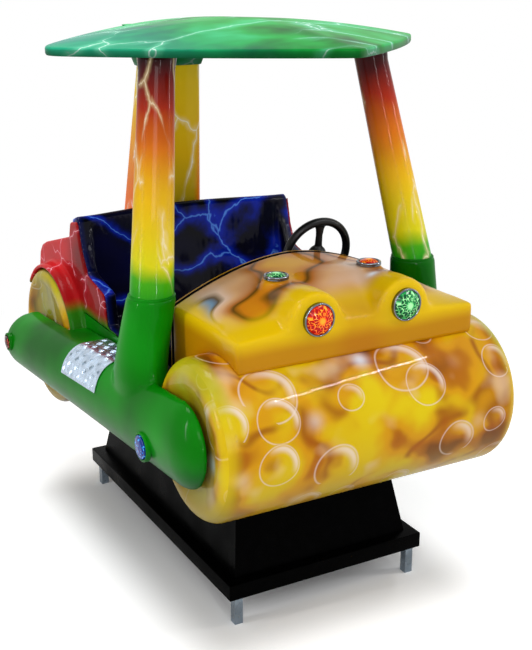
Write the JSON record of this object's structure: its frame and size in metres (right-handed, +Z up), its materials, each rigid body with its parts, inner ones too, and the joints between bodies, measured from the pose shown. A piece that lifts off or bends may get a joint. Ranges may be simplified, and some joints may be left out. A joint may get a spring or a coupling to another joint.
{
  "type": "kiddie ride machine",
  "caption": "Coin-operated rocking ride shaped like a toy road roller: drums, bucket seat, steering wheel and canopy on a low base.",
  "frame": {"origin": "centre of the overall footprint at floor level, under the leg bottoms", "axes": "+Z up; -Y is the front of the vehicle, so +X is the rider's left"},
  "size_m": [1.1536, 1.575, 1.604],
  "materials": {
    "base_black": "gloss black paint",
    "galvanised_steel": "galvanised",
    "zinc_plate": "zinc plated",
    "motor_grey": "satin grey paint",
    "nylon": "natural nylon",
    "black_plastic": "moulded, fine grain",
    "chrome": "polished",
    "green_gelcoat": "airbrushed gelcoat under gloss lacquer",
    "yellow_gelcoat": "airbrushed gelcoat under gloss lacquer",
    "orange_gelcoat": "airbrushed gelcoat under gloss lacquer",
    "red_gelcoat": "airbrushed gelcoat under gloss lacquer",
    "dark_blue_gelcoat": "airbrushed gelcoat under gloss lacquer",
    "black_gelcoat": "gloss gelcoat",
    "bright_tread_plate": "five-bar tread pattern, bright",
    "red_lens": "faceted lens",
    "green_lens": "faceted lens",
    "blue_lens": "reflector lens",
    "dark_red_lens": "reflector lens"
  },
  "bodies": {
    "base": {"base_slab": "base_black", "base_housing": "base_black", "leg_front_left": "galvanised_steel", "leg_front_right": "galvanised_steel", "leg_rear_left": "galvanised_steel", "leg_rear_right": "galvanised_steel", "gear_motor": "motor_grey", "gearbox": "motor_grey", "pivot_axle": "galvanised_steel", "pillow_block_left": "motor_grey", "pillow_block_right": "motor_grey", "control_box": "zinc_plate", "mains_inlet": "black_plastic", "cash_box": "galvanised_steel"},
    "coin_door": {"coin_door": "zinc_plate", "coin_entry": "chrome", "coin_acceptor": "motor_grey", "coin_return_cup": "black_plastic"},
    "lock": {"coin_door_lock": "chrome"},
    "reject": {"coin_reject_button": "chrome"},
    "flap": {"coin_return_flap": "chrome"},
    "crank": {"drive_crank": "galvanised_steel"},
    "roller": {"crank_roller": "nylon"},
    "ride": {"sub_frame": "galvanised_steel", "crank_channel": "galvanised_steel", "floor_tub": "black_gelcoat", "front_drum": "yellow_gelcoat", "rear_drum": "yellow_gelcoat", "hood": "yellow_gelcoat", "dashboard": "black_gelcoat", "loudspeaker": "black_plastic", "steering_column": "black_plastic", "seat_shell": "dark_blue_gelcoat", "rear_shell": "red_gelcoat", "side_member_left": "green_gelcoat", "side_member_right": "green_gelcoat", "tread_plate_left": "bright_tread_plate", "tread_plate_right": "bright_tread_plate", "post_base_left": "green_gelcoat", "post_base_right": "green_gelcoat", "front_post_left": "orange_gelcoat", "front_post_right": "orange_gelcoat", "rear_support": "yellow_gelcoat", "roof": "green_gelcoat", "headlamp_bezel_left": "chrome", "headlamp_bezel_right": "chrome", "headlamp_lens_left": "green_lens", "headlamp_lens_right": "red_lens", "top_lamp_bezel_left": "chrome", "top_lamp_bezel_right": "chrome", "top_lamp_lens_left": "red_lens", "top_lamp_lens_right": "green_lens", "front_reflector_left": "blue_lens", "front_reflector_right": "blue_lens", "rear_reflector_left": "dark_red_lens", "rear_reflector_right": "dark_red_lens"},
    "wheel": {"steering_wheel": "black_plastic"},
    "horn": {"horn_button": "yellow_gelcoat"},
    "starter": {"start_button": "red_lens"}
  },
  "joints": [
    {"name": "ride_rock", "type": "hinge", "parent": "base", "child": "ride", "pos_m": [0, -0.0125, 0.235], "axis": [1, 0, 0], "range_deg": [-5, 5]},
    {"name": "crank_turn", "type": "hinge", "parent": "base", "child": "crank", "pos_m": [0, -0.2525, 0.235], "axis": [1, 0, 0], "range_deg": [-92, 92]},
    {"name": "roller_spin", "type": "hinge", "parent": "crank", "child": "roller", "pos_m": [0, -0.27342, 0.235], "axis": [1, 0, 0], "continuous": true},
    {"name": "coin_door_swing", "type": "hinge", "parent": "base", "child": "coin_door", "pos_m": [-0.079, 0.46096, 0.21348], "axis": [0, -0.2425, 0.9701], "range_deg": [0, 110]},
    {"name": "coin_lock_turn", "type": "hinge", "parent": "coin_door", "child": "lock", "pos_m": [0.052, 0.45688, 0.21246], "axis": [0, -0.9701, -0.2425], "range_deg": [0, 90]},
    {"name": "coin_reject_press", "type": "slide", "parent": "coin_door", "child": "reject", "axis": [0, -0.9701, -0.2425], "range_m": [0, 0.005], "stiffness_N_per_m": 300, "springref_m": -0.002},
    {"name": "coin_flap_swing", "type": "hinge", "parent": "coin_door", "child": "flap", "pos_m": [-0.015, 0.46137, 0.20276], "axis": [-1, 0, 0], "range_deg": [0, 60], "stiffness_Nm_per_rad": 0.01, "springref_deg": -20.05},
    {"name": "wheel_turn", "type": "hinge", "parent": "ride", "child": "wheel", "pos_m": [0.145, -0.2075, 0.935], "axis": [0, 0.9744, 0.225], "continuous": true},
    {"name": "horn_press", "type": "slide", "parent": "wheel", "child": "horn", "axis": [0, -0.9744, -0.225], "range_m": [0, 0.004], "stiffness_N_per_m": 400, "springref_m": -0.002},
    {"name": "start_press", "type": "slide", "parent": "ride", "child": "starter", "axis": [0, -1, 0], "range_m": [0, 0.004], "stiffness_N_per_m": 400, "springref_m": -0.002}
  ],
  "couplings": [
    {"joint": "crank_turn", "follows": "ride_rock", "ratio": 18}
  ]
}
